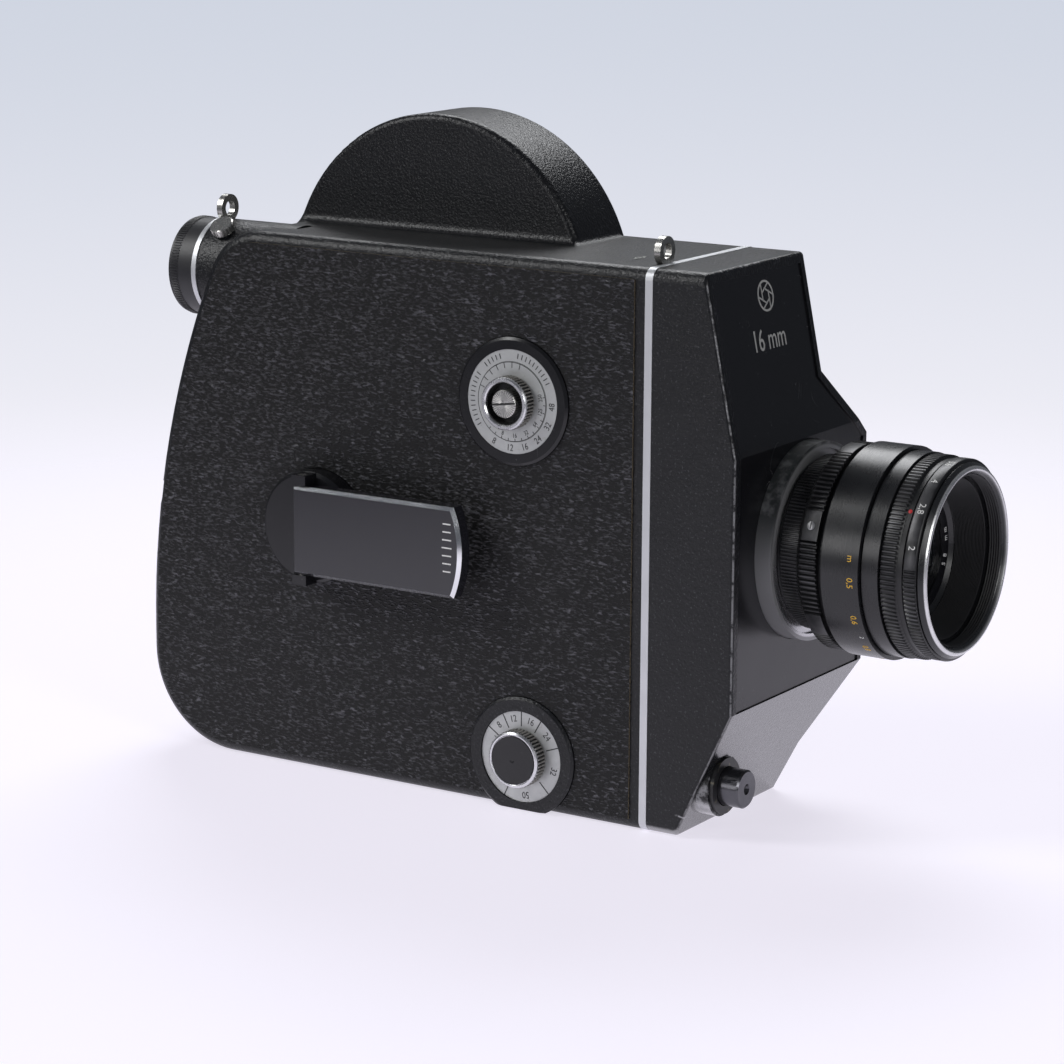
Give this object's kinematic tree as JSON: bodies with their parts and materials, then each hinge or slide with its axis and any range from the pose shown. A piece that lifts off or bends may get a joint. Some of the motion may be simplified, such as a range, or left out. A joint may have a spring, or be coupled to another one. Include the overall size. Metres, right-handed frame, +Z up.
{
  "type": "cine camera",
  "caption": "Spring-wound 16 mm reflex cine camera with a screw-mount prime lens, folding winding crank, film door, dials and a working film drive.",
  "frame": {"origin": "centre of the tripod socket's mouth in the flat base", "axes": "+X towards the subject along the lens, +Y towards the film door (the camera's left), +Z up"},
  "size_m": [0.2595, 0.092, 0.1985],
  "materials": {
    "crackle_paint": "fine black wrinkle paint on an aluminium casting",
    "leatherette": "black pebbled leatherette",
    "bright_aluminium": "bright satin aluminium",
    "gloss_black": "gloss black enamel",
    "worn_flange": "black anodised flange worn to bare metal at its rim",
    "black_anodised": "satin black anodising, knurled and engraved",
    "optical_glass": "coated optical glass",
    "nickel": "polished nickel plate",
    "steel": "turned and ground steel",
    "brass": "machined brass",
    "cast_plate": "milled aluminium",
    "spool_black": "black enamelled sheet",
    "mirror_coat": "front-silvered mirror"
  },
  "bodies": {
    "camera": {"main_shell": "crackle_paint", "mechanism_plate": "cast_plate", "side_leatherette": "leatherette", "trim_strip": "bright_aluminium", "front_casing": "crackle_paint", "front_plate": "gloss_black", "lens_mount_flange": "worn_flange", "lens_base": "black_anodised", "depth_scale_ring": "black_anodised", "rear_glass": "optical_glass", "exposure_surround": "gloss_black", "exposure_scale_ring": "bright_aluminium", "speed_surround": "gloss_black", "speed_disc": "bright_aluminium", "release_collar": "brass", "release_spring": "steel", "eyepiece_ring": "bright_aluminium", "relay_tube": "black_anodised", "finder_prism": "optical_glass", "ground_glass": "optical_glass", "strap_eye_front": "nickel", "strap_eye_rear": "nickel", "tripod_bush": "nickel", "gate_plate": "nickel", "door_hinge_pin": "nickel"},
    "door": {"film_door": "crackle_paint", "door_leatherette": "leatherette"},
    "latch": {"door_latch": "black_anodised", "latch_tongue": "nickel"},
    "winder": {"winding_arbor": "steel", "crank_hub": "black_anodised", "crank_hinge_pin": "nickel"},
    "crank": {"crank_paddle": "gloss_black"},
    "exposure_control": {"exposure_disc": "black_anodised", "exposure_knob": "black_anodised", "exposure_screw": "nickel"},
    "speed_control": {"speed_knob": "black_anodised", "speed_cap": "black_anodised"},
    "release": {"release_button": "nickel"},
    "eyepiece": {"eyecup": "black_anodised", "ocular_lens": "optical_glass"},
    "clamp": {"clamp_screw": "nickel"},
    "focus_control": {"focus_ring": "black_anodised"},
    "lens_front": {"lens_head": "black_anodised", "lens_bezel": "bright_aluminium", "name_ring": "gloss_black", "front_glass": "optical_glass", "iris_blades": "black_anodised"},
    "aperture_control": {"aperture_ring": "black_anodised"},
    "preset_control": {"preset_ring": "black_anodised"},
    "motor": {"spring_barrel": "cast_plate", "spring_wheel": "brass", "mainspring": "steel"},
    "sprocket": {"sprocket_pinion": "brass", "film_sprocket": "steel"},
    "takeup": {"takeup_spindle": "steel", "takeup_spool": "spool_black"},
    "supply": {"supply_spindle": "steel"},
    "presser": {"pressure_plate": "nickel"},
    "shutter": {"mirror_shutter": "mirror_coat"}
  },
  "joints": [
    {"name": "door_swing", "type": "hinge", "parent": "camera", "child": "door", "pos_m": [0.055, 0.0312, 0.08], "axis": [0, 0, -1], "range_deg": [0, 100]},
    {"name": "latch_turn", "type": "hinge", "parent": "door", "child": "latch", "pos_m": [-0.098, 0.0285, 0.08], "axis": [0, 1, 0], "range_deg": [0, 90]},
    {"name": "winding_turn", "type": "hinge", "parent": "camera", "child": "winder", "pos_m": [-0.05, -0.0285, 0.077], "axis": [0, -1, 0], "continuous": true},
    {"name": "crank_fold", "type": "hinge", "parent": "winder", "child": "crank", "pos_m": [-0.05, -0.038, 0.077], "axis": [0, 0, -1], "range_deg": [0, 90]},
    {"name": "exposure_turn", "type": "hinge", "parent": "camera", "child": "exposure_control", "pos_m": [0.0189, -0.0285, 0.1215], "axis": [0, -1, 0], "range_deg": [-150, 150]},
    {"name": "speed_turn", "type": "hinge", "parent": "camera", "child": "speed_control", "pos_m": [0.0224, -0.0285, 0.0162], "axis": [0, -1, 0], "range_deg": [-125, 125]},
    {"name": "release_press", "type": "slide", "parent": "camera", "child": "release", "axis": [-1, 0, 0], "range_m": [0, 0.003], "stiffness_N_per_m": 400, "springref_m": -0.001},
    {"name": "dioptre_turn", "type": "hinge", "parent": "camera", "child": "eyepiece", "pos_m": [-0.1, -0.0125, 0.1489], "axis": [1, 0, 0], "range_deg": [-120, 120]},
    {"name": "clamp_turn", "type": "hinge", "parent": "camera", "child": "clamp", "pos_m": [-0.091, -0.0125, 0.1489], "axis": [0, -0.5592, 0.829], "range_deg": [-180, 180]},
    {"name": "focus_turn", "type": "hinge", "parent": "camera", "child": "focus_control", "pos_m": [0.118, 0.0135, 0.0823], "axis": [1, 0, 0], "range_deg": [0, 270]},
    {"name": "focus_travel", "type": "slide", "parent": "camera", "child": "lens_front", "axis": [1, 0, 0], "range_m": [0, 0.007]},
    {"name": "aperture_turn", "type": "hinge", "parent": "lens_front", "child": "aperture_control", "pos_m": [0.133, 0.0135, 0.0823], "axis": [1, 0, 0], "range_deg": [0, 75]},
    {"name": "preset_turn", "type": "hinge", "parent": "lens_front", "child": "preset_control", "pos_m": [0.139, 0.0135, 0.0823], "axis": [1, 0, 0], "range_deg": [0, 75]},
    {"name": "motor_turn", "type": "hinge", "parent": "camera", "child": "motor", "pos_m": [-0.05, -0.01, 0.077], "axis": [0, 1, 0], "continuous": true},
    {"name": "sprocket_turn", "type": "hinge", "parent": "camera", "child": "sprocket", "pos_m": [-0.00206, 0.01, 0.07069], "axis": [0, 1, 0], "continuous": true},
    {"name": "takeup_turn", "type": "hinge", "parent": "camera", "child": "takeup", "pos_m": [-0.062, 0.01, 0.054], "axis": [0, 1, 0], "continuous": true},
    {"name": "supply_turn", "type": "hinge", "parent": "camera", "child": "supply", "pos_m": [-0.0292, 0.01, 0.145], "axis": [0, 1, 0], "continuous": true},
    {"name": "presser_lift", "type": "slide", "parent": "camera", "child": "presser", "axis": [-1, 0, 0], "range_m": [0, 0.003], "stiffness_N_per_m": 150, "springref_m": -0.001},
    {"name": "shutter_turn", "type": "hinge", "parent": "camera", "child": "shutter", "pos_m": [0.0765, 0.0215, 0.0823], "axis": [0.7071, 0, 0.7071], "continuous": true}
  ],
  "couplings": [
    {"joint": "focus_travel", "follows": "focus_turn", "m_per_rad": 0.0014853},
    {"joint": "sprocket_turn", "follows": "motor_turn", "ratio": -3},
    {"joint": "shutter_turn", "follows": "motor_turn", "ratio": 24}
  ]
}
